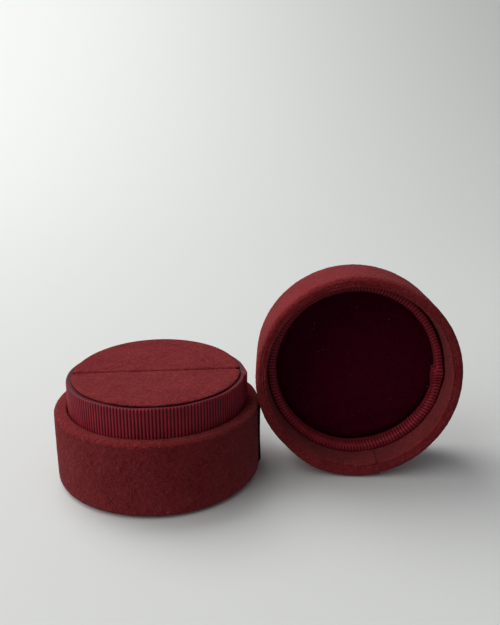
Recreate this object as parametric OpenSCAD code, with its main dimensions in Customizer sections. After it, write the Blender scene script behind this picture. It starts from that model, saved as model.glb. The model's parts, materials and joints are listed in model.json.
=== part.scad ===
// Round jewelry gift box in suede velvet, shown open: the base stands upright
// with its ribbon-wrapped neck and split ring cushion, and the lid lies on its
// side next to it with its mouth to the front.
// Origin: centre of the base's underside, on the floor. +Z is up, -Y is the
// front, +X runs towards the lid. Millimetres.

/* [Base] */
// Outside diameter of the base over its velvet
base_od = 60; // [50:1:80]
// Height of the ledge that the lid closes on, above the floor
base_h = 22; // [17:0.2:36]
// Card thickness of the base's outer tube
base_tube_wall = 2; // [1:0.1:3]
// Thickness of the round card at the bottom of the base
bottom_board_t = 2; // [1:0.1:3]
// Thickness of the velvet disc that covers the underside
underside_t = 0.5; // [0.3:0.1:1]
// Margin between the underside disc and the wall
underside_margin = 3; // [1:0.5:6]
// Depth to which the wall's velvet is turned in behind the rim
rim_turn_in = 12; // [5:0.5:14]
// Width of the velvet hem glued under the bottom or over the top
hem_w = 8; // [4:0.5:12]

/* [Neck] */
// Height of the neck above the ledge
neck_h = 8.2; // [5:0.2:11]
// Card thickness of the neck tube and of the lid's stop ring
neck_tube_wall = 1.1; // [0.8:0.1:1.6]
// Thickness of the ribbed ribbon round the outside
ribbon_t = 0.5; // [0.3:0.1:0.8]
// Thickness of the ribbon where it is pressed flat against the inside
ribbon_inner_t = 0.4; // [0.3:0.1:0.6]
// Depth to which the ribbon goes down behind the base's rim
ribbon_tuck = 4; // [2:0.5:8]
// Depth to which the ribbon is turned down inside the neck
ribbon_turn_in = 5; // [2:0.5:10]

/* [Ring cushion] */
// Height of the crown of the cushion above its edge
cushion_crown = 1.3; // [0.4:0.1:3]
// Height of the cushion's edge above the top of the neck
cushion_proud = 0.1; // [0:0.1:2]
// Card thickness under each cushion half
backing_t = 0.8; // [0.5:0.1:2]
// Width of the closed slot between the halves
slot_gap = 0.3; // [0.2:0.05:0.8]
// Angle of the slot across the box
slot_angle = 5; // [-20:1:20]
// Distance each half gives way when a ring goes in
cushion_give = 0.6; // [0.3:0.1:1]

/* [Lid] */
// Height of the lid
lid_h = 23.4; // [20:0.2:36]
// Card thickness of the lid's tube
lid_tube_wall = 1.5; // [1:0.1:3]
// Thickness of the velvet strip that lines the lid
lid_lining_t = 0.9; // [0.5:0.1:1.5]
// Thickness of the round card in the top of the lid
top_board_t = 2; // [1:0.1:3]
// Axial length of the stop ring with its ribbon
stop_ring_w = 4.6; // [3:0.2:6]
// Thickness of the card inside the lid's pad
pad_board_t = 0.6; // [0.4:0.1:1.5]
// Thickness of the lid's pad over its card
pad_t = 2.2; // [2.1:0.1:4]
// Radius of the rolled edge of the lid's pad
pad_roll = 2; // [1.2:0.1:2]
// Thickness of the loose velvet lap at the mouth
lap_t = 0.7; // [0.4:0.1:1.5]
// Length of the loose lap along the lid
lap_len = 9; // [5:0.5:10]
// Angle from the lid's seam round to the far end of the loose lap
lap_angle = 34; // [20:1:60]
// Place of the lid's seam, as an angle from straight down
lid_seam_angle = 14; // [0:1:40]

/* [Materials and fits] */
// Thickness of the suede velvet with its glue
velvet_t = 0.8; // [0.5:0.1:1.2]
// Rounding of the velvet over the outer edges of base and lid
edge_r = 1.3; // [1:0.1:2]
// Height of the wall's lapped seam over the velvet beside it
seam_step = 0.4; // [0.2:0.1:0.6]
// Width of the lapped seam round the wall, as an angle
seam_width = 8; // [4:1:14]
// Place of the base's seam, as an angle from +X
base_seam_angle = -4; // [-20:1:0]
// Film of glue between pieces that are stuck together
glue_gap = 0.05; // [0.02:0.01:0.1]
// Clearance between the neck's ribbon and the base's turned-in velvet
neck_clear = 0.2; // [0.1:0.05:0.5]
// Clearance between the neck's ribbon and the lid's mouth
mouth_clear = 0.2; // [0.1:0.05:0.5]
// Clearance between the cushion and the neck once a half has given way
cushion_clear = 0.3; // [0.3:0.05:1.5]
// Clearance between the end of the neck and the lid's stop ring
stop_clear = 0.1; // [0.05:0.05:0.5]
// Clearance between the lid lying on its side and the base
lid_side_clear = 0.35; // [0.3:0.05:5]

/* [How the lid lies] */
// How far the lid's mouth stands in front of the base's middle
lid_front = 6.7; // [0:0.1:12]
// Angle by which the lid's mouth is turned to the left
lid_turn = 1.7; // [0:0.1:6]

/* [Hidden] */
$fn = 96;

velvet_color = "#6b2023";
lining_color = "#5c1a1f";
ribbon_color = "#7a2a33";
card_color = "#b9a88c";
foam_color = "#4a3a3a";

// Base, from the velvet inwards
base_r = base_od / 2;
base_tube_ro = base_r - velvet_t - glue_gap;
base_tube_ri = base_tube_ro - base_tube_wall;
base_velvet_ri = base_tube_ri - glue_gap - velvet_t;
hem_z = underside_t + glue_gap;
board_z = hem_z + velvet_t + glue_gap;
board_top = board_z + bottom_board_t;

// Neck
ribbon_ro = base_velvet_ri - neck_clear;
neck_ro = ribbon_ro - ribbon_t - glue_gap;
neck_ri = neck_ro - neck_tube_wall;
ribbon_ri = neck_ri - glue_gap - ribbon_inner_t;
neck_top = base_h + neck_h;

// Cushion
cushion_r = ribbon_ri - cushion_give - cushion_clear;
cushion_z = board_top + 2 * glue_gap;
cushion_edge_z = neck_top + cushion_proud;
crown_r = (pow(cushion_r, 2) + pow(cushion_crown, 2)) / (2 * cushion_crown);
crown_z = cushion_edge_z + cushion_crown - crown_r;

// Lid, in its own frame: z = 0 at the closed top, z = lid_h at the mouth
mouth_r = ribbon_ro + mouth_clear;
lid_tube_ri = mouth_r + lid_lining_t + glue_gap;
lid_tube_ro = lid_tube_ri + lid_tube_wall;
lid_r = lid_tube_ro + glue_gap + velvet_t;
lid_hem_z = velvet_t + glue_gap;
top_board_z = lid_hem_z + velvet_t + glue_gap;
top_board_end = top_board_z + top_board_t;
pad_z = top_board_end + glue_gap;
pad_foam_z = pad_z + pad_board_t + glue_gap;
pad_top = pad_z + pad_board_t + pad_t;
pad_r = mouth_r - glue_gap;
stop_front = lid_h - neck_h - stop_clear;
stop_back = stop_front - stop_ring_w;

// How the lid lies: it rests on the back edge of its wall and on the loose lap,
// so its mouth looks up a little
back_edge_z = lid_hem_z + edge_r;
lid_tilt = atan(lap_t / (lid_h - lap_len - back_edge_z));
lid_z = (lid_r - edge_r) * cos(lid_tilt) + (lid_h - back_edge_z) * sin(lid_tilt) + edge_r;
// The lid passes the base's seam closest where the base's wall starts to round
pass_z = base_h - edge_r;
pass_drop = lid_z - lid_front * tan(lid_tilt) - pass_z;
pass_half_w = sqrt(pow(lid_r, 2) - pow(pass_drop, 2));
lid_x = base_r + seam_step + lid_side_clear + pass_half_w - lid_front * tan(lid_turn);

// Points of an arc, from angle a0 to a1
function arc(x, z, r, a0, a1, n = 6) =
    [for (i = [0 : n]) let (a = a0 + (a1 - a0) * i / n) [x + r * cos(a), z + r * sin(a)]];

// Ring of a rectangular section
module ring(ri, ro, z0, z1) {
    rotate_extrude() translate([ri, z0]) square([ro - ri, z1 - z0]);
}

// Round card or disc
module disc(r, z0, z1) {
    translate([0, 0, z0]) cylinder(r = r, h = z1 - z0);
}

// Lapped seam: a second thickness on the wall between two angles
module wall_lap(r, t, a0, a1, z0, z1) {
    rotate([0, 0, a0]) rotate_extrude(angle = a1 - a0)
        translate([r - velvet_t / 2, z0]) square([velvet_t / 2 + t, z1 - z0]);
}

// ---- Base ----

module base_underside_cover() {
    color(lining_color) disc(base_r - underside_margin, 0, underside_t);
}

module base_bottom_board() {
    color(card_color) disc(base_tube_ri - glue_gap, board_z, board_top);
}

module base_tube() {
    color(card_color) ring(base_tube_ri, base_tube_ro, board_z, base_h - velvet_t - glue_gap);
}

// One sheet: a hem under the board, the wall, the rounded rim and the turn-in
module base_wall_velvet() {
    rim_r = velvet_t;
    color(velvet_color) {
        rotate([0, 0, 180]) rotate_extrude() polygon(concat(
            [[base_r - hem_w, hem_z]],
            arc(base_r - edge_r, hem_z + edge_r, edge_r, -90, 0),
            arc(base_r - edge_r, base_h - edge_r, edge_r, 0, 90),
            arc(base_velvet_ri + rim_r, base_h - rim_r, rim_r, 90, 180),
            [
                [base_velvet_ri, base_h - rim_turn_in],
                [base_velvet_ri + velvet_t, base_h - rim_turn_in],
                [base_velvet_ri + velvet_t, base_h - velvet_t],
                [base_r - velvet_t, base_h - velvet_t],
                [base_r - velvet_t, hem_z + velvet_t],
                [base_r - hem_w, hem_z + velvet_t]
            ]
        ));
        wall_lap(base_r, seam_step, base_seam_angle, base_seam_angle + seam_width,
                 hem_z + 2 * edge_r, base_h - 2 * edge_r);
    }
}

// ---- Neck ----

module neck_tube() {
    color(card_color) ring(neck_ri, neck_ro, board_top + glue_gap, neck_top - ribbon_t - glue_gap);
}

// Ribbon round the neck, folded over its top and turned down inside
module neck_ribbon() {
    fold_r = 0.45 * (ribbon_ro - ribbon_ri);
    color(ribbon_color) rotate_extrude() polygon(concat(
        [[ribbon_ro, base_h - ribbon_tuck]],
        arc(ribbon_ro - fold_r, neck_top - fold_r, fold_r, 0, 90),
        arc(ribbon_ri + fold_r, neck_top - fold_r, fold_r, 90, 180),
        [
            [ribbon_ri, neck_top - ribbon_turn_in],
            [ribbon_ri + ribbon_inner_t, neck_top - ribbon_turn_in],
            [ribbon_ri + ribbon_inner_t, neck_top - ribbon_t],
            [ribbon_ro - ribbon_t, neck_top - ribbon_t],
            [ribbon_ro - ribbon_t, base_h - ribbon_tuck]
        ]
    ));
}

// ---- Ring cushion: two halves, each a velvet cover over foam on a card ----

// Half of a crowned round block, inset all round; side is -1 front, 1 back
module cushion_block(side, inset, z0) {
    r = cushion_r - inset;
    edge = slot_gap / 2 + inset;
    rotate([0, 0, slot_angle]) intersection() {
        translate([0, 0, z0]) cylinder(r = r, h = neck_top + 2 * cushion_crown + cushion_proud);
        translate([0, 0, crown_z]) sphere(r = crown_r - inset);
        translate([-base_r, side > 0 ? edge : -edge - base_r, 0])
            cube([base_od, base_r, 2 * neck_top]);
    }
}

module cushion_backing(side) {
    r = cushion_r - velvet_t - glue_gap;
    edge = slot_gap / 2 + velvet_t + glue_gap;
    color(card_color) rotate([0, 0, slot_angle]) intersection() {
        translate([0, 0, cushion_z]) cylinder(r = r, h = backing_t);
        translate([-base_r, side > 0 ? edge : -edge - base_r, 0])
            cube([base_od, base_r, 2 * neck_top]);
    }
}

module cushion_foam(side) {
    color(foam_color) cushion_block(side, velvet_t + glue_gap, cushion_z + backing_t + glue_gap);
}

module cushion_velvet(side) {
    color(velvet_color) difference() {
        cushion_block(side, 0, cushion_z);
        cushion_block(side, velvet_t, cushion_z - 1);
    }
}

module cushion_front_backing() { cushion_backing(-1); }
module cushion_front_foam() { cushion_foam(-1); }
module cushion_front_velvet() { cushion_velvet(-1); }
module cushion_back_backing() { cushion_backing(1); }
module cushion_back_foam() { cushion_foam(1); }
module cushion_back_velvet() { cushion_velvet(1); }

// ---- Lid ----

// Puts a lid piece from the lid's own frame where it lies
module lid_place() {
    translate([lid_x, -lid_front, lid_z])
        rotate([90 - lid_tilt, 0, -lid_turn])
            translate([0, 0, -lid_h]) children();
}

module lid_top_velvet() {
    color(velvet_color) lid_place() rotate_extrude() polygon(concat(
        [[0, velvet_t], [0, 0]],
        arc(lid_r - edge_r - velvet_t / 2, velvet_t / 2, velvet_t / 2, -90, 90)
    ));
}

module lid_top_board() {
    color(card_color) lid_place() disc(lid_tube_ri - glue_gap, top_board_z, top_board_end);
}

module lid_tube() {
    color(card_color) lid_place()
        ring(lid_tube_ri, lid_tube_ro, top_board_z, lid_h - velvet_t - glue_gap);
}

// One sheet: a hem under the top disc, the wall and the turn over the rim,
// with the loose lap at the mouth beside the seam
module lid_wall_velvet() {
    seam = -90 + lid_seam_angle;
    color(velvet_color) lid_place() {
        rotate_extrude() polygon(concat(
            [[lid_r - hem_w, lid_hem_z + velvet_t], [lid_r - hem_w, lid_hem_z]],
            arc(lid_r - edge_r, lid_hem_z + edge_r, edge_r, -90, 0),
            arc(lid_r - edge_r, lid_h - edge_r, edge_r, 0, 90),
            [
                [lid_tube_ri, lid_h],
                [lid_tube_ri, lid_h - velvet_t],
                [lid_r - velvet_t, lid_h - velvet_t],
                [lid_r - velvet_t, lid_hem_z + velvet_t]
            ]
        ));
        wall_lap(lid_r, lap_t, seam - lap_angle, seam, lid_h - lap_len, lid_h - 2 * edge_r);
    }
}

// Strip of velvet that lines the lid, with a folded edge at the mouth
module lid_lining() {
    fold_r = lid_lining_t / 2;
    color(lining_color) lid_place() rotate_extrude() polygon(concat(
        [[mouth_r, pad_z], [mouth_r + lid_lining_t, pad_z]],
        arc(mouth_r + fold_r, lid_h - fold_r, fold_r, 0, 180, 8)
    ));
}

module lid_stop_ring() {
    color(card_color) lid_place()
        ring(neck_ri, neck_ro, stop_back + ribbon_inner_t + glue_gap,
             stop_front - ribbon_inner_t - glue_gap);
}

// Ribbon wound round the stop ring: the inside, both ends and a narrow turn-back
module lid_stop_ribbon() {
    outer = neck_ro + glue_gap;
    inner = neck_ri - glue_gap;
    fold_r = ribbon_inner_t;
    turn_back = stop_ring_w / 3;
    color(ribbon_color) lid_place() rotate_extrude() polygon(concat(
        [[outer, stop_front - turn_back], [outer + ribbon_inner_t, stop_front - turn_back]],
        arc(outer + ribbon_inner_t - fold_r, stop_front - fold_r, fold_r, 0, 90),
        arc(inner - ribbon_t + fold_r, stop_front - fold_r, fold_r, 90, 180),
        arc(inner - ribbon_t + fold_r, stop_back + fold_r, fold_r, 180, 270),
        [
            [outer, stop_back],
            [outer, stop_back + ribbon_inner_t],
            [inner, stop_back + ribbon_inner_t],
            [inner, stop_front - ribbon_inner_t],
            [outer, stop_front - ribbon_inner_t]
        ]
    ));
}

module lid_pad_board() {
    color(card_color) lid_place()
        disc(pad_r - velvet_t - glue_gap, pad_z, pad_z + pad_board_t);
}

module lid_pad_foam() {
    inset = velvet_t + glue_gap;
    color(foam_color) lid_place() rotate_extrude() polygon(concat(
        [[0, pad_foam_z], [pad_r - inset, pad_foam_z]],
        arc(pad_r - pad_roll, pad_top - pad_roll, pad_roll - inset, 0, 90),
        [[0, pad_top - inset]]
    ));
}

// Cover of the lid's pad: the face and a side that runs down round the card
module lid_pad_velvet() {
    color(lining_color) lid_place() rotate_extrude() polygon(concat(
        [[pad_r - velvet_t, pad_z], [pad_r, pad_z]],
        arc(pad_r - pad_roll, pad_top - pad_roll, pad_roll, 0, 90),
        [[0, pad_top], [0, pad_top - velvet_t]],
        arc(pad_r - pad_roll, pad_top - pad_roll, pad_roll - velvet_t, 90, 0)
    ));
}

base_underside_cover();
base_bottom_board();
base_tube();
base_wall_velvet();
neck_tube();
neck_ribbon();
cushion_front_backing();
cushion_front_foam();
cushion_front_velvet();
cushion_back_backing();
cushion_back_foam();
cushion_back_velvet();
lid_top_velvet();
lid_top_board();
lid_tube();
lid_wall_velvet();
lid_lining();
lid_stop_ring();
lid_stop_ribbon();
lid_pad_board();
lid_pad_foam();
lid_pad_velvet();
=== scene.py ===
"""Looks of a round velvet jewelry gift box: base, ribbon-wrapped neck, ring cushion and loose lid.

Lengths are in millimetres until a mesh is made, where they become metres.
"""
import json
import math

import bmesh
import bpy
import numpy as np
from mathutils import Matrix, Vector


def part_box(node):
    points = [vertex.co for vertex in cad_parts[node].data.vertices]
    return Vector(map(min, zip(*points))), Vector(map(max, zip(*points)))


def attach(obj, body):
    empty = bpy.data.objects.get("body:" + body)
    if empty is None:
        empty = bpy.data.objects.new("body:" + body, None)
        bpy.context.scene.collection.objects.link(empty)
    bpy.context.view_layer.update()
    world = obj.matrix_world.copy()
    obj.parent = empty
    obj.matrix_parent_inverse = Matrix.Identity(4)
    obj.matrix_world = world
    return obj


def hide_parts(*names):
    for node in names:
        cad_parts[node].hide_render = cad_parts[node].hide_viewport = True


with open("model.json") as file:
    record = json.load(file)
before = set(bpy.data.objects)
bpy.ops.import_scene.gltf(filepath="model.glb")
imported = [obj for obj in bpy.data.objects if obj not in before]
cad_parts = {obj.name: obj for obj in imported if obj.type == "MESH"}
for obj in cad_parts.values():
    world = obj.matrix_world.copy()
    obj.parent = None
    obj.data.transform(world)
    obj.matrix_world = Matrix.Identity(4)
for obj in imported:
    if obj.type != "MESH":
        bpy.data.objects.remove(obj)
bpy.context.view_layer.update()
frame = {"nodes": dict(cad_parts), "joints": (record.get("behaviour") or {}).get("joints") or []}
nodes = frame["nodes"]

MM = 0.001
CUT_HALF = 0.0004       # half the angle between the two columns of a cut edge, radians
TURN = 2 * math.pi

# ---------------------------------------------------------------- places


def cloud(node):
    """A CAD node's vertices, in mm."""
    return np.array([v.co for v in nodes[node].data.vertices], float) / MM


def middle(node):
    low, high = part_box(node)
    return np.array((low + high) / 2) / MM


class Place:
    """A round piece's own frame: a point on its axis and three directions, the last along the axis."""

    def __init__(self, origin, axis, up):
        self.z = np.array(axis, float) / np.linalg.norm(axis)
        y = np.array(up, float) - self.z * np.dot(up, self.z)
        self.y = y / np.linalg.norm(y)
        self.x = np.cross(self.y, self.z)
        self.origin = np.array(origin, float)

    def local(self, points):
        """Radius, angle and height of points in this place's frame."""
        d = np.asarray(points, float) - self.origin
        x, y, z = d @ self.x, d @ self.y, d @ self.z
        return np.hypot(x, y), np.arctan2(y, x), z

    def world(self, r, angle, z):
        x, y = r * np.cos(angle), r * np.sin(angle)
        return (self.origin + x[..., None] * self.x + y[..., None] * self.y
                + np.asarray(z)[..., None] * self.z)


base_place = Place((0, 0, 0), (0, 0, 1), (0, 1, 0))
lid_axis = middle("lid_stop_ring") - middle("lid_top_board")
lid_place = Place(middle("lid_top_board"), lid_axis, (0, 0, 1))


def span(node, place):
    """Lowest and highest radius and height of a node about its place's axis: (r0, r1), (z0, z1)."""
    r, _, z = place.local(cloud(node))
    return (r.min(), r.max()), (z.min(), z.max())


# ---------------------------------------------------------------- mesh tools


def waves(angle, along, turns, cycles, count, seed):
    """Smooth seeded unevenness from -1 to 1: a sum of waves round the angle and along the profile."""
    r = np.random.default_rng(seed)
    total = np.zeros(np.broadcast(angle, along).shape)
    for _ in range(count):
        n = r.integers(turns[0], turns[1] + 1)
        k = r.uniform(cycles[0], cycles[1]) * r.choice((-1, 1))
        total = total + np.sin(n * angle + k * along + r.uniform(0, TURN))
    return np.tanh(total / math.sqrt(count) * 0.9)


def step(x, low, high):
    """0 below low, 1 above high, smooth between."""
    t = np.clip((x - low) / (high - low), 0, 1)
    return t * t * (3 - 2 * t)


def bump(x, centre, half):
    """1 at centre, falling smoothly to 0 about half away."""
    return np.exp(-((x - centre) / half) ** 2)


def arc(cx, cz, r, a0, a1, n=8):
    t = np.radians(np.linspace(a0, a1, n + 1))
    return [(cx + r * math.cos(a), cz + r * math.sin(a)) for a in t]


def fine(points, gap):
    """The outline's points with extra ones so that none are further apart than gap."""
    out = [points[0]]
    for a, b in zip(points, points[1:]):
        n = max(1, math.ceil(math.dist(a, b) / gap))
        out += [(a[0] + (b[0] - a[0]) * i / n, a[1] + (b[1] - a[1]) * i / n) for i in range(1, n + 1)]
    return out


def new_mesh(name, verts, faces):
    mesh = bpy.data.meshes.new(name)
    mesh.from_pydata([tuple(v) for v in np.asarray(verts) * MM], [], faces)
    mesh.validate()
    mesh.polygons.foreach_set("use_smooth", [True] * len(mesh.polygons))
    obj = bpy.data.objects.new(name, mesh)
    bpy.context.scene.collection.objects.link(obj)
    return obj


def grid_faces(rows, cols, wrap_rows, wrap_cols):
    faces = []
    for i in range(rows if wrap_rows else rows - 1):
        a, b = i * cols, ((i + 1) % rows) * cols
        for j in range(cols if wrap_cols else cols - 1):
            k = (j + 1) % cols
            faces.append((a + j, a + k, b + k, b + j))
    return faces


def even_angles(count, extra=()):
    """Angles all round, with a close pair at each extra one where a cut edge stands."""
    t = list(np.linspace(-math.pi, math.pi, count, endpoint=False))
    for e in extra:
        t = [a for a in t if abs(a - e) > TURN / count * 0.6]
        t += [e - CUT_HALF, e + CUT_HALF]
    return np.array(sorted(t))


def turned(name, place, outline, angles, shape, poles=False):
    """A closed skin turned round a place's axis.

    shape(angle, r, z, i) gives the moved r and z, where i is how far along the outline each row is. A third
    value, if given, is how deep in a groove each vertex lies, kept as painted groove shade for the ribbon's
    colour. With poles, the outline starts and ends on the axis.
    """
    prof = np.array(outline)
    a, i = np.meshgrid(angles, np.arange(len(prof)))
    r, z, *groove_shade = shape(a, prof[i, 0], prof[i, 1], i)
    if not poles:
        pts = place.world(r, a, z).reshape(-1, 3)
        obj = new_mesh(name, pts, grid_faces(len(prof), len(angles), True, True))
        if groove_shade:
            mark_groove_shade(obj, groove_shade[0])
        return obj
    inner = place.world(r[1:-1], a[1:-1], z[1:-1]).reshape(-1, 3)
    ends = place.world(np.zeros(2), np.zeros(2), np.array([z[0].mean(), z[-1].mean()]))
    rows, cols = len(prof) - 2, len(angles)
    faces = grid_faces(rows, cols, False, True)
    first, last = rows * cols, rows * cols + 1
    for j in range(cols):
        k = (j + 1) % cols
        faces.append((first, k, j))
        faces.append((last, (rows - 1) * cols + j, (rows - 1) * cols + k))
    return new_mesh(name, np.vstack([inner, ends]), faces)


def mark_groove_shade(obj, depth):
    """Keeps how deep in a groove each vertex lies, 0 to 1, as painted shade that darkens the ribbon's colour
    there.
    """
    layer = obj.data.attributes.new("groove_shade", "FLOAT", "POINT")
    layer.data.foreach_set("value", np.clip(depth, 0, 1).ravel())


def show_cut_edge(obj, angles, seam, material):
    """Gives the narrow faces of a lapped seam's cut edge their own darker cloth: partly the raw edge's own
    dark colour, partly painted shade.
    """
    obj.data.materials.append(material)
    column = int(np.argmin(np.abs(angles - (seam - CUT_HALF))))
    for k in range(column, len(obj.data.polygons), len(angles)):
        obj.data.polygons[k].material_index = 1


def outward(obj):
    """Turns every face outwards."""
    bm = bmesh.new()
    bm.from_mesh(obj.data)
    bmesh.ops.recalc_face_normals(bm, faces=bm.faces)
    bm.to_mesh(obj.data)
    bm.free()
    return obj


def finish_piece(obj, body, slot, material, *replaced):
    outward(obj)
    obj.data.materials.append(material)
    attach(obj, body)
    if replaced:
        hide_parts(*replaced)
    return obj


# ---------------------------------------------------------------- materials


class Group:
    """A shader node group with named inputs and outputs, written as one chain."""

    def __init__(self, name, inputs, outputs):
        self.tree = bpy.data.node_groups.new(name, "ShaderNodeTree")
        for label, kind, value in inputs:
            s = self.tree.interface.new_socket(label, in_out="INPUT", socket_type=kind)
            s.default_value = value
        for label, kind in outputs:
            self.tree.interface.new_socket(label, in_out="OUTPUT", socket_type=kind)
        self.inp = self.tree.nodes.new("NodeGroupInput")
        self.out = self.tree.nodes.new("NodeGroupOutput")

    def link(self, a, b):
        self.tree.links.new(a, b)


def maths(tree, operation, a, b=None, c=None, clamp=False):
    node = tree.nodes.new("ShaderNodeMath")
    node.operation = operation
    node.use_clamp = clamp
    for socket, value in zip(node.inputs, (a, b, c)):
        if value is None:
            continue
        if isinstance(value, (int, float)):
            socket.default_value = value
        else:
            tree.links.new(value, socket)
    return node.outputs[0]


def noise(tree, where, scale, detail=3.0, rough=0.55, distortion=0.0):
    n = tree.nodes.new("ShaderNodeTexNoise")
    n.inputs["Scale"].default_value = scale
    n.inputs["Detail"].default_value = detail
    n.inputs["Roughness"].default_value = rough
    n.inputs["Distortion"].default_value = distortion
    tree.links.new(where, n.inputs["Vector"])
    return n.outputs["Fac"]


def stretch(tree, value, low, high, to_low=0.0, to_high=1.0):
    m = tree.nodes.new("ShaderNodeMapRange")
    tree.links.new(value, m.inputs["Value"])
    for label, v in (("From Min", low), ("From Max", high), ("To Min", to_low), ("To Max", to_high)):
        m.inputs[label].default_value = v
    return m.outputs["Result"]


def mix_colour(tree, factor, a, b):
    m = tree.nodes.new("ShaderNodeMix")
    m.data_type = "RGBA"
    for socket, value in ((m.inputs["Factor"], factor), (m.inputs["A"], a), (m.inputs["B"], b)):
        if isinstance(value, (tuple, list, int, float)):
            socket.default_value = value
        else:
            tree.links.new(value, socket)
    return m.outputs["Result"]


def make_nap_group():
    """Short suede pile: brushed patches, a pebbled grain, fibres and small creases."""
    g = Group("velvet_nap",
              [("Vector", "NodeSocketVector", (0, 0, 0)), ("Deep", "NodeSocketColor", (0.1, 0.01, 0.01, 1)),
               ("Light", "NodeSocketColor", (0.2, 0.03, 0.03, 1)), ("Brushing", "NodeSocketFloat", 1.0),
               ("Creases", "NodeSocketFloat", 1.0)],
              [("Color", "NodeSocketColor"), ("Height", "NodeSocketFloat"),
               ("Roughness", "NodeSocketFloat")])
    t, where = g.tree, g.inp.outputs["Vector"]
    patches = noise(t, where, 110, 3, 0.6, 0.6)
    mottle = noise(t, where, 700, 3, 0.6, 0.4)
    pebble = noise(t, where, 1450, 3, 0.62, 0.5)
    fibres = noise(t, where, 5200, 2, 0.6)
    shade = maths(t, "MULTIPLY", maths(t, "SUBTRACT", patches, 0.5), 0.8)
    for layer, weight in ((mottle, 0.9), (pebble, 1.5), (fibres, 1.1)):
        part = maths(t, "MULTIPLY", maths(t, "SUBTRACT", layer, 0.5), weight)
        shade = maths(t, "ADD", shade, part)
    shade = maths(t, "MULTIPLY", shade, g.inp.outputs["Brushing"])
    factor = maths(t, "ADD", shade, 0.5, clamp=True)
    g.link(mix_colour(t, factor, g.inp.outputs["Deep"], g.inp.outputs["Light"]), g.out.inputs["Color"])
    fold = noise(t, where, 420, 3, 0.55, 1.5)
    fold = maths(t, "ABSOLUTE", maths(t, "SUBTRACT", fold, 0.5))
    fold = maths(t, "MULTIPLY", stretch(t, fold, 0.0, 0.08), g.inp.outputs["Creases"])
    height = maths(t, "MULTIPLY", mottle, 0.9)
    for layer, weight in ((pebble, 1.0), (fibres, 0.3), (fold, 0.28)):
        height = maths(t, "ADD", height, maths(t, "MULTIPLY", layer, weight))
    g.link(height, g.out.inputs["Height"])
    g.link(stretch(t, mottle, 0.3, 0.7, 0.86, 0.98), g.out.inputs["Roughness"])
    return g.tree


def make_lint_group():
    """Sparse pale specks of lint and dust caught in the pile."""
    g = Group("lint",
              [("Vector", "NodeSocketVector", (0, 0, 0)), ("Color", "NodeSocketColor", (0.1, 0.01, 0.01, 1)),
               ("Lint", "NodeSocketColor", (0.4, 0.28, 0.27, 1)), ("Size", "NodeSocketFloat", 0.1),
               ("Share", "NodeSocketFloat", 0.1)],
              [("Color", "NodeSocketColor")])
    t, where = g.tree, g.inp.outputs["Vector"]
    warp = t.nodes.new("ShaderNodeTexNoise")
    warp.inputs["Scale"].default_value = 900
    g.link(where, warp.inputs["Vector"])
    moved = t.nodes.new("ShaderNodeVectorMath")
    moved.operation = "MULTIPLY_ADD"
    g.link(warp.outputs["Color"], moved.inputs[0])
    moved.inputs[1].default_value = (0.0006, 0.0006, 0.0006)
    g.link(where, moved.inputs[2])
    cells = t.nodes.new("ShaderNodeTexVoronoi")
    cells.inputs["Scale"].default_value = 700
    g.link(moved.outputs["Vector"], cells.inputs["Vector"])
    near = maths(t, "LESS_THAN", cells.outputs["Distance"], g.inp.outputs["Size"])
    split = t.nodes.new("ShaderNodeSeparateColor")
    g.link(cells.outputs["Color"], split.inputs["Color"])
    chosen = maths(t, "LESS_THAN", split.outputs["Red"], g.inp.outputs["Share"])
    mask = maths(t, "MULTIPLY", maths(t, "MULTIPLY", near, chosen),
                 stretch(t, split.outputs["Green"], 0, 1, 0.25, 0.8))
    g.link(mix_colour(t, mask, g.inp.outputs["Color"], g.inp.outputs["Lint"]), g.out.inputs["Color"])
    return g.tree


def make_thread_group():
    """Fine weave of a corded ribbon and uneven dye, with painted shade that darkens the colour down in the
    grooves.
    """
    g = Group("ribbon_thread_groove_shade",
              [("Vector", "NodeSocketVector", (0, 0, 0)), ("Groove_Shade", "NodeSocketFloat", 0.0),
               ("Deep", "NodeSocketColor", (0.1, 0.01, 0.02, 1)),
               ("Light", "NodeSocketColor", (0.25, 0.05, 0.07, 1))],
              [("Color", "NodeSocketColor"), ("Height", "NodeSocketFloat"),
               ("Roughness", "NodeSocketFloat")])
    t, where = g.tree, g.inp.outputs["Vector"]
    thread = noise(t, where, 3600, 2, 0.5)
    dye = noise(t, where, 260, 3, 0.55)
    factor = maths(t, "ADD", maths(t, "MULTIPLY", thread, 0.5), maths(t, "MULTIPLY", dye, 0.5))
    # painted shade: the colour is pulled towards Deep where the groove shade input is high
    factor = maths(t, "SUBTRACT", factor, maths(t, "MULTIPLY", g.inp.outputs["Groove_Shade"], 0.95), clamp=True)
    g.link(mix_colour(t, factor, g.inp.outputs["Deep"], g.inp.outputs["Light"]), g.out.inputs["Color"])
    g.link(thread, g.out.inputs["Height"])
    g.link(stretch(t, dye, 0.3, 0.7, 0.48, 0.62), g.out.inputs["Roughness"])
    return g.tree


def make_speckle_group():
    """Grey card or foam: fine speckle and its height."""
    g = Group("speckle",
              [("Vector", "NodeSocketVector", (0, 0, 0)), ("Deep", "NodeSocketColor", (0.3, 0.28, 0.24, 1)),
               ("Light", "NodeSocketColor", (0.5, 0.45, 0.38, 1)), ("Grain", "NodeSocketFloat", 1200.0)],
              [("Color", "NodeSocketColor"), ("Height", "NodeSocketFloat")])
    t = g.tree
    n = t.nodes.new("ShaderNodeTexNoise")
    n.inputs["Detail"].default_value = 4
    g.link(g.inp.outputs["Vector"], n.inputs["Vector"])
    g.link(g.inp.outputs["Grain"], n.inputs["Scale"])
    g.link(mix_colour(t, stretch(t, n.outputs["Fac"], 0.35, 0.65), g.inp.outputs["Deep"],
                      g.inp.outputs["Light"]), g.out.inputs["Color"])
    g.link(n.outputs["Fac"], g.out.inputs["Height"])
    return g.tree


NAP = make_nap_group()
LINT = make_lint_group()
THREAD = make_thread_group()
SPECKLE = make_speckle_group()


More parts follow.
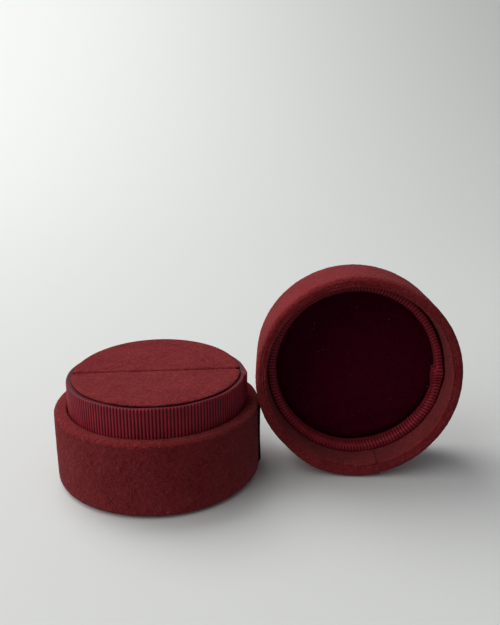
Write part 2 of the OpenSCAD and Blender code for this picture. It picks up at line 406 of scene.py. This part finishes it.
def start_material(name, sheen=0.0, sheen_tint=(1, 1, 1, 1), sheen_rough=0.4, specular=0.5):
    mat = bpy.data.materials.new(name)
    mat.use_nodes = True
    tree = mat.node_tree
    bsdf = tree.nodes["Principled BSDF"]
    bsdf.inputs["Sheen Weight"].default_value = sheen
    bsdf.inputs["Sheen Tint"].default_value = sheen_tint
    bsdf.inputs["Sheen Roughness"].default_value = sheen_rough
    bsdf.inputs["Specular IOR Level"].default_value = specular
    where = tree.nodes.new("ShaderNodeTexCoord").outputs["Object"]
    return mat, tree, bsdf, where


def place_group(tree, group, where, **values):
    node = tree.nodes.new("ShaderNodeGroup")
    node.node_tree = group
    tree.links.new(where, node.inputs["Vector"])
    for key, value in values.items():
        node.inputs[key].default_value = value
    return node


def bump_into(tree, bsdf, height, distance, strength):
    b = tree.nodes.new("ShaderNodeBump")
    b.inputs["Distance"].default_value = distance * MM
    b.inputs["Strength"].default_value = strength
    tree.links.new(height, b.inputs["Height"])
    tree.links.new(b.outputs["Normal"], bsdf.inputs["Normal"])


def velvet(name, deep, light, sheen, tint, brushing=1.0, creases=1.0, lint_share=0.45, relief=0.85):
    mat, tree, bsdf, where = start_material(name, sheen, tint, 0.45, 0.04)
    nap = place_group(tree, NAP, where, Deep=deep, Light=light, Brushing=brushing, Creases=creases)
    lint = place_group(tree, LINT, where, Size=0.085, Share=lint_share)
    tree.links.new(nap.outputs["Color"], lint.inputs["Color"])
    tree.links.new(lint.outputs["Color"], bsdf.inputs["Base Color"])
    tree.links.new(nap.outputs["Roughness"], bsdf.inputs["Roughness"])
    bump_into(tree, bsdf, nap.outputs["Height"], relief, 0.8)
    return mat


def ribbon(name, deep, light, tint):
    mat, tree, bsdf, where = start_material(name, 0.05, tint, 0.35, 0.14)
    thread = place_group(tree, THREAD, where, Deep=deep, Light=light)
    # this attribute is painted shade for the ribbon's grooves, and for the neck ribbon's fold and inner side
    groove_shade = tree.nodes.new("ShaderNodeAttribute")
    groove_shade.attribute_name = "groove_shade"
    tree.links.new(groove_shade.outputs["Fac"], thread.inputs["Groove_Shade"])
    tree.links.new(thread.outputs["Color"], bsdf.inputs["Base Color"])
    tree.links.new(thread.outputs["Roughness"], bsdf.inputs["Roughness"])
    bump_into(tree, bsdf, thread.outputs["Height"], 0.05, 0.6)
    return mat


def speckled(name, deep, light, grain, rough, relief):
    mat, tree, bsdf, where = start_material(name, specular=0.3)
    bsdf.inputs["Roughness"].default_value = rough
    spots = place_group(tree, SPECKLE, where, Deep=deep, Light=light, Grain=grain)
    tree.links.new(spots.outputs["Color"], bsdf.inputs["Base Color"])
    bump_into(tree, bsdf, spots.outputs["Height"], relief, 0.5)
    return mat


PINK = (1.0, 0.50, 0.50, 1)
suede = velvet("suede_velvet", (0.125, 0.0045, 0.0085, 1), (0.240, 0.0270, 0.0290, 1), 0.11, PINK)
# the pad's velvet is the suede made far darker: painted shade for the pad deep inside the lid
pad_suede_painted_shade = velvet("lid_pad_suede_painted_shade", (0.047, 0.0002, 0.0075, 1), (0.069, 0.0008, 0.0115, 1), 0.01, PINK,
                   lint_share=0.12)
under_cloth = velvet("underside_cloth", (0.09, 0.006, 0.009, 1), (0.14, 0.012, 0.015, 1), 0.08, PINK,
                     lint_share=0.02)
# near black: the raw edge's own darkness deepened with painted shade
cut_edge_dark_and_shaded = velvet("cut_edge_dark_and_shaded", (0.010, 0.0010, 0.0015, 1), (0.030, 0.0025, 0.0035, 1), 0.0, PINK,
                  lint_share=0.0)
cord_ribbon = ribbon("ribbed_ribbon", (0.066, 0.0008, 0.0052, 1), (0.48, 0.036, 0.056, 1),
                     (1.0, 0.45, 0.50, 1))
card = speckled("grey_card", (0.36, 0.32, 0.26, 1), (0.50, 0.45, 0.37, 1), 1500, 0.85, 0.04)
foam = speckled("dark_foam", (0.035, 0.028, 0.028, 1), (0.09, 0.075, 0.075, 1), 2600, 0.95, 0.15)

for node in nodes:
    if node.endswith(("_board", "_tube", "_ring", "_backing")):
        hidden_skin = card
    elif node.endswith("_foam"):
        hidden_skin = foam
    else:
        hidden_skin = under_cloth
    mesh = nodes[node].data
    mesh.materials.clear()
    mesh.materials.append(hidden_skin)

# ---------------------------------------------------------------- base

VELVET = 0.8            # thickness of the velvet
EDGE = 1.3              # rounding of the velvet over the card's rim
COLS = 720              # columns round a velvet wall


def wall_sizes(node, place):
    """Outer radius and its ends, leaving out the lapped seam."""
    r, a, z = place.local(cloud(node))
    far = np.abs(a) > math.radians(120)
    return r[far].max(), z.min(), z.max()


def make_base_wall():
    R, z0, z1 = wall_sizes("base_wall_velvet", base_place)
    r, a, z = base_place.local(cloud("base_wall_velvet"))
    r_in = r[z > z1 - 3].min()
    turn_z = z[r < r_in + 0.1].min()
    hem_r = r[z < z0 + 0.1].min()
    seam = a[r > R + 0.2].min()
    visible = fine([(hem_r, z0), (R - EDGE, z0)], 1.0)
    visible += arc(R - EDGE, z0 + EDGE, EDGE, -90, 0, 8)[1:]
    visible += fine([(R, z0 + EDGE), (R, z1 - EDGE)], 0.3)[1:]
    visible += arc(R - EDGE, z1 - EDGE, EDGE, 0, 90, 12)[1:]
    visible += fine([(R - EDGE, z1), (r_in + 0.8, z1)], 0.25)[1:]
    visible += arc(r_in + 0.8, z1 - 0.8, 0.8, 90, 180, 8)[1:]
    hidden = fine([(r_in, z1 - 0.8), (r_in, turn_z)], 2.0)[1:]
    hidden += [(r_in + VELVET, turn_z), (r_in + VELVET, z1 - VELVET - 0.2), (R - VELVET, z1 - VELVET - 0.2),
               (R - VELVET, z0 + VELVET), (hem_r, z0 + VELVET)]
    last = len(visible)

    def shape(a, r, z, i):
        shown = step(i, 2, 8) * (1 - step(i, last - 8, last - 1))
        out_r, out_z = (r - (R - EDGE)), (z - (z1 - EDGE))
        on_rim = step(z, z1 - EDGE, z1 - 0.2)
        lift = 0.10 * waves(a, z, (2, 7), (0.05, 0.25), 6, 1)
        lift += 0.035 * waves(a, z, (18, 60), (0.4, 1.6), 14, 2)
        lift += 0.032 * waves(a, z, (50, 120), (1.5, 5.0), 22, 6) * (1 - 0.9 * on_rim)
        # the card's edge stands out a little under the cloth, with a soft dent below it
        dent = 0.6 + 0.4 * waves(a, z, (4, 15), (0, 0.1), 5, 3)
        lift -= 0.15 * dent * bump(z, z1 - 1.9, 0.45) * (r > R - 0.3)
        lift += 0.03 * bump(z, z1 - 0.9, 0.5)
        # fine creases that run along the rim
        fold = waves(a, z, (2, 9), (5.5, 9.0), 6, 4)
        lift += 0.045 * fold * bump(z, z1 - 1.4, 1.5) * (0.4 + 0.6 * step(np.cos(a + 0.7), -0.2, 0.9))
        # the lapped seam: the sheet's free end rises to a cut edge
        on = (a - seam) % TURN
        lap = np.where(on < math.radians(14), 1 - step(on, math.radians(5), math.radians(14)), 0)
        lap = lap * (0.50 + 0.10 * waves(z * 0, z, (0, 0), (0.2, 0.7), 4, 5))
        # the sheet below is pressed down just before the cut edge
        before = bump((seam - a) % TURN, math.radians(1.2), math.radians(1.4)) * -0.10
        lift = lift + (lap + before) * step(z, z0 + 0.8, z0 + 2.6) * (1 - step(z, z1 - 1.6, z1 - 0.5))
        lift = lift * shown
        tilt = np.arctan2(np.where(on_rim > 0.02, np.maximum(out_z, 0), 0), np.maximum(out_r, 1e-3))
        tilt = np.where(r < R - EDGE, math.pi / 2, tilt)
        return r + lift * np.cos(tilt), z + lift * np.sin(tilt) * 0.8

    angles = even_angles(COLS, (seam,))
    obj = turned("base_velvet_wall", base_place, visible + hidden, angles, shape)
    finish_piece(obj, "base", "suede_velvet", suede, "base_wall_velvet")
    show_cut_edge(obj, angles, seam, cut_edge_dark_and_shaded)
    return obj


RIB_PITCH = 0.95        # width of one cord of the ribbon
RIB_HIGH = 0.24         # height of a cord over the groove beside it
RIB_STEPS = 8           # columns across one cord
LAP_HIGH = 0.50         # how far the neck ribbon's lapped end stands out
CORNER_RISE = 0.85      # how far the top corner of that end lifts


def cord_shape(a, count):
    """Round cords with narrow grooves, 0 to 1."""
    f = (a / TURN * count) % 1
    return 1 - np.abs(2 * f - 1) ** 2.2


def make_neck_ribbon():
    (r_in, r_out), (z0, z1) = span("neck_ribbon", base_place)
    count = round(TURN * r_out / RIB_PITCH)
    fold = 0.45
    lap_end = math.radians(-7)
    outline = fine([(r_out, z0), (r_out, z1 - fold)], 0.5)
    outline += arc(r_out - fold, z1 - fold, fold, 0, 90, 6)[1:]
    outline += fine([(r_out - fold, z1), (r_in + 0.8, z1 - 0.15)], 0.4)[1:]
    outline += arc(r_in + 0.8, z1 - 0.95, 0.8, 90, 180, 6)[1:]
    outline += fine([(r_in, z1 - 0.95), (r_in, z1 - 5)], 1.0)[1:]
    outline += [(r_in + 0.3, z1 - 5), (r_in + 0.3, z1 - 1.0), (r_out - 0.5, z1 - 0.7), (r_out - 0.5, z0)]
    hidden_from = len(outline) - 4

    def shape(a, r, z, i):
        outside = step(r, r_out - fold - 0.05, r_out - 0.05)
        shown = (i < hidden_from) * 1.0
        rib = cord_shape(a, count)
        lift = -RIB_HIGH * (1 - rib) * (0.12 + 0.88 * outside)
        lift = lift + 0.04 * waves(a, z, (2, 6), (0.1, 0.4), 5, 12)
        # the ribbon's lapped end, rising to a small peak at its top corner
        on = (a - lap_end) % TURN
        lap = np.where(on < math.radians(20), 1 - step(on, math.radians(7), math.radians(20)), 0)
        lift = lift + LAP_HIGH * lap * outside
        near = bump((a - lap_end + math.pi) % TURN - math.pi, math.radians(2.5), math.radians(4.5))
        rise = CORNER_RISE * near * step(z, z1 - 2.6, z1) * step(r, r_in + 1.1, r_out - 0.3)
        wave = 0.07 * waves(a, z * 0, (3, 11), (0, 0), 5, 13) * step(z, z1 - 2, z1)
        # painted shade: darker down each groove, and a flat 0.55 darkening over the fold and the ribbon's
        # inner side
        groove_shade = (1 - rib) * outside + 0.55 * (1 - outside)
        return r + lift * shown * np.maximum(outside, 0.25), z + shown * (rise + wave), groove_shade

    angles = even_angles(count * RIB_STEPS, (lap_end,))
    obj = turned("neck_corded_ribbon", base_place, outline, angles, shape)
    return finish_piece(obj, "base", "ribbed_ribbon", cord_ribbon, "neck_ribbon")


ROLL = 1.5              # radius of a cushion half's rolled edges
SLOT_LOW = 0.7          # how far the tops lie below the crown at the slot
EDGE_DROP = 0.58        # how far the tops fall at their round edge, so the lip clears the ribbon
LIP = 1.5               # how far a cushion half bulges out over the neck's rim
CORNER = 1.6            # rounding of its two corners, seen from above
NICK = 0.09             # depth of the small nicks along the slot
HUB = 0.46              # where the rings of points shrink to, as a share of the radius


def half_outline(radius, edge, count):
    """Outline of a half disc with rounded corners, as points (along the slot, away from it)."""
    k = CORNER
    # the corner's arc touches the straight edge and the round one
    cx = math.sqrt((radius - k) ** 2 - (edge + k) ** 2)
    touch = math.atan2(edge + k, cx)
    pts = [(radius * math.cos(t), radius * math.sin(t))
           for t in np.linspace(touch, math.pi - touch, count)]
    left = [(-cx + k * math.cos(t), edge + k + k * math.sin(t))
            for t in np.linspace(math.pi - touch, 1.5 * math.pi, 14)][1:]
    x = np.linspace(-cx, cx, count)[1:-1]
    nicks = NICK * np.abs(waves(x * 0, x, (0, 0), (1.2, 4.5), 9, round(radius) + 5)) ** 1.5
    straight = list(zip(x, edge + nicks))
    right = [(cx + k * math.cos(t), edge + k + k * math.sin(t))
             for t in np.linspace(-math.pi / 2, touch, 14)][:-1]
    return np.array(pts + left + straight + right)


def make_cushion_half(name, rise, seed):
    """A half-round pad rolled over at its edges, its top rising away from the slot by rise."""
    node = f"cushion_{name}_velvet"
    co = cloud(node)
    z0, z1 = co[:, 2].min(), co[:, 2].max()
    joint = next(j for j in frame["joints"] if j["child"] == f"cushion_{name}")
    away = np.array(joint["axis"][:2])
    along = np.array((-away[1], away[0]))
    inner = np.hypot(co[:, 0], co[:, 1]).max()
    radius = inner + LIP
    edge = (co[:, :2] @ away).min()
    line = half_outline(radius, edge, 190)
    hub = np.array((0.0, radius * HUB))
    rings = np.linspace(0, 1, 62)[1:] ** 0.72
    rows = [hub + (line - hub) * k for k in rings]
    top = []
    for flat in rows:
        d_round = np.maximum(radius - np.hypot(flat[:, 0], flat[:, 1]), 0)
        d_slot = np.maximum(flat[:, 1] - edge, 0)
        x, y = flat[:, 0] * 0.1, flat[:, 1] * 0.1
        fall = SLOT_LOW - rise * np.clip(d_slot / radius, 0, 1)
        for d, wide, drop in ((d_round, ROLL * 1.35, EDGE_DROP), (d_slot, ROLL * 0.75, ROLL * 0.55)):
            t = np.clip(1 - d / wide, 0, 1)
            fall = fall + drop * (1 - np.sqrt(np.maximum(1 - t ** 2, 0)))
        soft = 0.07 * waves(x * 3, y * 9, (1, 3), (0.5, 1.4), 8, seed)
        soft += 0.05 * waves(x * 26, y * 60, (1, 4), (0.3, 1.2), 16, seed + 1)
        top.append(z1 - fall + soft * step(np.minimum(d_round, d_slot), 0.1, 1.5))
    # under the lip the side draws in and goes straight down into the neck
    shaft = half_outline(inner, edge, 190)
    low = z1 - SLOT_LOW - EDGE_DROP
    for z, draw in ((low - 0.1, 0.75), (low - 0.6, 1.0), (low - 3, 1.0), (low - 8, 1.0), (z0, 1.0)):
        rows.append(line + (shaft - line) * draw)
        top.append(np.full(len(line), z))
    flat, z = np.vstack(rows), np.concatenate(top)
    pts = np.column_stack([flat[:, :1] * along + flat[:, 1:] * away, z])
    cols = len(line)
    faces = grid_faces(len(rows), cols, False, True)
    hub_xy = hub[0] * along + hub[1] * away
    pts = np.vstack([pts, [*hub_xy, top[0].mean()], [*hub_xy, z0]])
    first, last, final = len(pts) - 2, len(pts) - 1, (len(rows) - 1) * cols
    for j in range(cols):
        k = (j + 1) % cols
        faces.append((first, k, j))
        faces.append((last, final + j, final + k))
    obj = new_mesh(f"ring_cushion_{name}", pts, faces)
    finish_piece(obj, f"cushion_{name}", "suede_velvet", suede, node)
    return obj


# ---------------------------------------------------------------- lid


def lid_seam():
    """Angle of the lid's cut edge: the end of the loose lap."""
    r, a, _ = lid_place.local(cloud("lid_wall_velvet"))
    R = r[np.abs(a) < math.radians(40)].max()
    return a[r > R + 0.3].max()


FOLLOW = 0.62           # how far the lid's cloth stands out just past its cut edge
SAG = 0.50              # how far the lid ribbon's middle bulges inwards
SLACK = 0.55            # how far that ribbon comes away from the wall at the upper right
RING_LAP = 0.75         # how far its lapped end stands in
RING_PINCH = 1.1        # how far the pinched corner of that end reaches towards the mouth


def make_lid_wall():
    r, a, z = lid_place.local(cloud("lid_wall_velvet"))
    R = r[np.abs(a) < math.radians(40)].max()
    z0, z1 = z.min(), z.max()
    r_in = r[z > z1 - 0.2].min()
    hem_r = r[z < z0 + 0.1].min()
    seam = lid_seam()
    edge = EDGE + 0.15
    visible = fine([(hem_r, z0), (R - edge, z0)], 1.0)
    visible += arc(R - edge, z0 + edge, edge, -90, 0, 10)[1:]
    visible += fine([(R, z0 + edge), (R, z1 - edge)], 0.3)[1:]
    visible += arc(R - edge, z1 - edge, edge, 0, 90, 14)[1:]
    visible += fine([(R - edge, z1), (r_in + 0.25, z1 - 0.02)], 0.12)[1:]
    visible += [(r_in + 0.05, z1 - 0.18), (r_in, z1 - 0.45)]
    hidden = [(r_in + 0.02, z1 - VELVET - 0.1), (R - VELVET, z1 - VELVET - 0.1), (R - VELVET, z0 + VELVET),
              (hem_r, z0 + VELVET)]
    last = len(visible)

    def shape(a, r, z, i):
        shown = step(i, 2, 8) * (i < last)
        lift = 0.10 * waves(a, z, (2, 6), (0.05, 0.2), 6, 21)
        lift += 0.03 * waves(a, z, (18, 60), (0.4, 1.6), 14, 22)
        lift += 0.032 * waves(a, z, (50, 120), (1.5, 5.0), 22, 26)
        dent = 0.6 + 0.4 * waves(a, z, (4, 15), (0, 0.1), 5, 23)
        lift -= 0.10 * bump(z, z1 - 2.2, 0.5) * (r > R - 0.3) * dent
        # creases that run round the rim's face
        fold = waves(a, r, (3, 12), (6, 11), 7, 24)
        face = step(z, z1 - 1.0, z1 - 0.2)
        ridge = 0.55 + 0.45 * waves(a, r * 0, (9, 30), (0, 0), 8, 25)
        drop = face * (0.07 * fold + 0.22 * bump(r, r_in + 0.55, 0.28) * ridge)
        # the loose lap beside the seam, pressed flat where it meets the floor
        back = (seam - a) % TURN
        loose = np.where(back < math.radians(62), 1 - step(back, math.radians(34), math.radians(62)), 0)
        reach = step(z, z1 - 12, z1 - 3)
        outer = np.clip((r - r_in) / (R - r_in), 0, 1)
        past = (a - seam) % TURN
        follow = np.where(past < math.radians(40), FOLLOW * (1 - step(past, 0, math.radians(40))), 0)
        swell = (loose + follow) * reach * outer * (i < last)
        near_seam = bump((a - seam + math.pi) % TURN - math.pi, 0, math.radians(1.6)) * (a > seam)
        out = r + lift * shown * outer - 0.25 * near_seam * shown * outer
        return out + swell, z - drop * shown

    angles = even_angles(COLS, (seam,))
    obj = turned("lid_velvet_wall", lid_place, visible + hidden, angles, shape)
    keep_off_floor(obj)
    finish_piece(obj, "lid", "suede_velvet", suede, "lid_wall_velvet")
    show_cut_edge(obj, angles, seam, cut_edge_dark_and_shaded)
    return obj


def keep_off_floor(obj, level=0.04):
    """Flattens what would hang through the floor."""
    low = level * MM
    for v in obj.data.vertices:
        if v.co.z < low:
            v.co.z = low


def make_lid_lining():
    (r_in, r_out), (z0, z1) = span("lid_lining", lid_place)
    r_out += 0.2
    seam = lid_seam()
    outline = fine([(r_out, z0 + 0.1), (r_out, z1 - 0.7)], 2.5)
    outline += arc(r_out - 0.55, z1 - 0.72, 0.55, 0, 90, 7)[1:]
    outline += [(r_out - 0.55 - 0.35 * math.sin(t), z1 - 0.17 - 1.5 * (1 - math.cos(t)))
                for t in np.linspace(0.15, math.pi / 2, 9)]
    outline += fine([(r_in, z1 - 1.9), (r_in, z1 - 9.5)], 0.3)
    outline += fine([(r_in, z1 - 9.5), (r_in, z0 + 0.1)], 1.5)[1:]

    def shape(a, r, z, i):
        inner = (r < r_out - 0.2) * 1.0
        lift = 0.09 * waves(a, z, (2, 7), (0.05, 0.3), 6, 31)
        lift += 0.03 * waves(a, z, (20, 60), (0.4, 1.5), 12, 32)
        back = (seam - a) % TURN
        lap = np.where(back < math.radians(10), 1 - step(back, math.radians(2), math.radians(10)), 0)
        gap = bump((a - seam + math.pi) % TURN - math.pi, 0, math.radians(0.7))
        edge_wave = 0.10 * waves(a, z * 0, (5, 21), (0, 0), 8, 33) * step(z, z1 - 1.5, z1 - 0.2)
        moved_r = r - inner * (np.abs(lift) * 0.8 + 0.22 * lap) + inner * 0.15 * gap
        return moved_r, z + edge_wave - 0.25 * gap * step(z, z1 - 2, z1)

    obj = turned("lid_velvet_lining", lid_place, outline, even_angles(COLS, (seam,)), shape)
    return finish_piece(obj, "lid", "suede_velvet", suede, "lid_lining")


def make_stop_ribbon():
    (r_in, r_out), (z0, z1) = span("lid_stop_ribbon", lid_place)
    count = round(TURN * r_in / RIB_PITCH)
    lap_at = math.radians(1.5)
    outline = [(r_out, z1 - 1.5)] + arc(r_out - 0.4, z1 - 0.4, 0.4, 0, 90, 4)
    outline += arc(r_in + 0.7, z1 - 0.7, 0.7, 90, 180, 7)
    outline += fine([(r_in, z1 - 0.7), (r_in, z0 + 0.5)], 0.35)[1:]
    outline += arc(r_in + 0.5, z0 + 0.5, 0.5, 180, 270, 4)[1:]
    outline += [(r_out - 0.4, z0), (r_out - 0.4, z0 + 0.4), (r_in + 0.5, z0 + 0.4), (r_in + 0.5, z1 - 0.4),
                (r_out - 0.4, z1 - 0.4), (r_out - 0.4, z1 - 1.5)]
    hidden_from = len(outline) - 5
    mid, half = (z0 + z1) / 2, (z1 - z0) / 2

    def shape(a, r, z, i):
        shown = (i < hidden_from) * 1.0
        inside = (1 - step(r, r_in + 0.1, r_out - 0.5))
        bow = 1 - ((z - mid) / half) ** 2
        lean = 0.045 * np.sin((z - mid) / half * math.pi) * (0.5 + 0.5 * np.sin(a * 3 + 1.2))
        rib = cord_shape(a + lean, count)
        out = RIB_HIGH * (1 - rib) * (0.3 + 0.7 * inside)
        out += (0.04 - SAG * bow) * inside
        # pulled away from the wall at the upper right
        slack = bump(a, math.radians(18), math.radians(24))
        out = out - slack * SLACK * step(z, mid, z1)
        back = (lap_at - a + math.pi) % TURN - math.pi
        lap = step(back, 0, math.radians(0.05)) * (1 - step(back, math.radians(8), math.radians(15)))
        pinch = bump(a, lap_at - math.radians(4), math.radians(5))
        out = out - RING_LAP * lap * inside + 0.05 * waves(a, z, (2, 7), (0.1, 0.4), 5, 41)
        ahead = RING_PINCH * pinch * step(z, mid, z1)
        ahead = ahead + 0.22 * waves(a, z * 0, (2, 9), (0, 0), 5, 42) * step(z, mid, z1)
        # the third value is painted shade, darkest down in each groove
        return r + out * shown, z + ahead * shown, 1 - rib

    obj = turned("lid_corded_ribbon", lid_place, outline, even_angles(count * RIB_STEPS, (lap_at,)), shape)
    return finish_piece(obj, "lid", "ribbed_ribbon", cord_ribbon, "lid_stop_ribbon")


def make_lid_pad():
    (_, R), (z0, z1) = span("lid_pad_velvet", lid_place)
    roll = 1.9
    outline = [(0.0, z1)]
    wide = 3.4
    outline += [(x, z1 - 0.22 * (x / R) ** 2) for x in np.linspace(0.5, R - wide, 46)]
    outline += [(R - wide + wide * math.sin(t), z1 - 0.18 - roll * (1 - math.cos(t)))
                for t in np.linspace(0.08, math.pi / 2, 16)]
    outline += [(R, z0 + 0.3), (R - 0.3, z0), (R / 2, z0), (0.0, z0)]

    def shape(a, r, z, i):
        x, y = r * np.cos(a) * 0.1, r * np.sin(a) * 0.1
        soft = 0.22 * waves(x * 3, y * 9, (1, 3), (0.5, 1.3), 8, 51)
        soft += 0.05 * waves(x * 9, y * 30, (1, 4), (0.3, 1.2), 10, 52)
        top = (z > z0 + 1.2) * step(R - r, 0.3, 3)
        return r, z + (soft + 0.05) * top

    obj = turned("lid_inner_pad", lid_place, outline, even_angles(240), shape, poles=True)
    finish_piece(obj, "lid", "lining_velvet", pad_suede_painted_shade, "lid_pad_velvet")
    return obj


def make_lid_top():
    (_, R), (z0, z1) = span("lid_top_velvet", lid_place)
    outline = [(0.0, z0)]
    outline += [(x, z0) for x in np.linspace(0.6, R - 1.2, 60)]
    flat_rows = len(outline)
    outline += [(R - 1.2 + 1.15 * math.sin(t), z0 + 0.62 * (1 - math.cos(t)))
                for t in np.linspace(0.1, math.pi / 2, 9)]
    outline += [(R - 0.1, z1 - 0.05), (R - 1, z1), (R / 2, z1), (0.0, z1)]

    def shape(a, r, z, i):
        x, y = r * np.cos(a) * 0.1, r * np.sin(a) * 0.1
        soft = 0.08 * waves(x * 3, y * 9, (1, 3), (0.5, 1.3), 8, 61)
        soft += 0.03 * waves(x * 9, y * 30, (1, 4), (0.3, 1.2), 10, 62)
        front = (i <= flat_rows) * step(R - r, 0.2, 2)
        edge = 0.10 * waves(a, r * 0, (3, 14), (0, 0), 7, 63) * step(r, R - 2, R)
        return r + edge, z + (np.abs(soft)) * front

    obj = turned("lid_velvet_top", lid_place, outline, even_angles(360), shape, poles=True)
    return finish_piece(obj, "lid", "suede_velvet", suede, "lid_top_velvet")


make_base_wall()
make_neck_ribbon()
make_cushion_half("front", 0.0, 71)
make_cushion_half("back", 1.6, 81)
make_lid_wall()
make_lid_lining()
make_stop_ribbon()
make_lid_pad()
make_lid_top()

# ---------------------------------------------------------------- floor, light and camera


WORLD_STRENGTH = 0.26
FLOOR_COLOUR = (0.58, 0.585, 0.575, 1)
EYE = (27.4, -188.8, 105.2)     # where the camera stands
TILT_DOWN = 16.7                # degrees below level
LENS = 39.6


def make_floor():
    """A pale floor that curves up into a backdrop."""
    depth, height, radius, half = 1150, 1500, 820, 1900
    side = [(-700, 0), (depth - radius, 0)]
    side += [(depth - radius + radius * math.sin(t), radius * (1 - math.cos(t)))
             for t in np.linspace(0.05, math.pi / 2, 24)]
    side += [(depth, height)]
    verts = [(x, y, z) for y, z in side for x in (-half, half)]
    faces = [(2 * i, 2 * i + 1, 2 * i + 3, 2 * i + 2) for i in range(len(side) - 1)]
    obj = new_mesh("floor", verts, faces)
    mat, _, bsdf, _ = start_material("pale_paper", specular=0.25)
    bsdf.inputs["Base Color"].default_value = FLOOR_COLOUR
    bsdf.inputs["Roughness"].default_value = 0.75
    obj.data.materials.append(mat)
    obj.visible_diffuse = False
    return obj


def make_light(name, place, aim, size, watts, colour):
    lamp = bpy.data.lights.new(name, "AREA")
    lamp.shape = "RECTANGLE"
    lamp.size, lamp.size_y = (s * MM for s in size)
    lamp.energy = watts
    lamp.color = colour
    obj = bpy.data.objects.new(name, lamp)
    bpy.context.scene.collection.objects.link(obj)
    obj.location = Vector(place) * MM
    obj.rotation_euler = (Vector(aim) - Vector(place)).to_track_quat("-Z", "Y").to_euler()
    return obj


def make_world():
    world = bpy.data.worlds.new("studio")
    world.use_nodes = True
    world.node_tree.nodes["Background"].inputs["Color"].default_value = (0.92, 0.96, 1.0, 1)
    world.node_tree.nodes["Background"].inputs["Strength"].default_value = WORLD_STRENGTH
    bpy.context.scene.world = world


def make_camera():
    """Eye level a little above the box, in front of it and to its right."""
    cam = bpy.data.cameras.new("camera")
    cam.sensor_width = 36
    cam.lens = LENS
    obj = bpy.data.objects.new("camera", cam)
    bpy.context.scene.collection.objects.link(obj)
    obj.location = Vector(EYE) * MM
    obj.rotation_euler = (math.radians(90 - TILT_DOWN), 0, 0)
    bpy.context.scene.camera = obj
    bpy.context.scene.view_settings.view_transform = "Standard"


make_floor()
make_world()
make_light("window", place=(-640, -130, 540), aim=(40, 0, 10), size=(1500, 1100), watts=10.1,
           colour=(1.0, 0.995, 0.98))
make_light("sky", place=(-380, 520, 900), aim=(-60, 640, 60), size=(900, 620), watts=7.6,
           colour=(1.0, 1.0, 0.98))
make_camera()
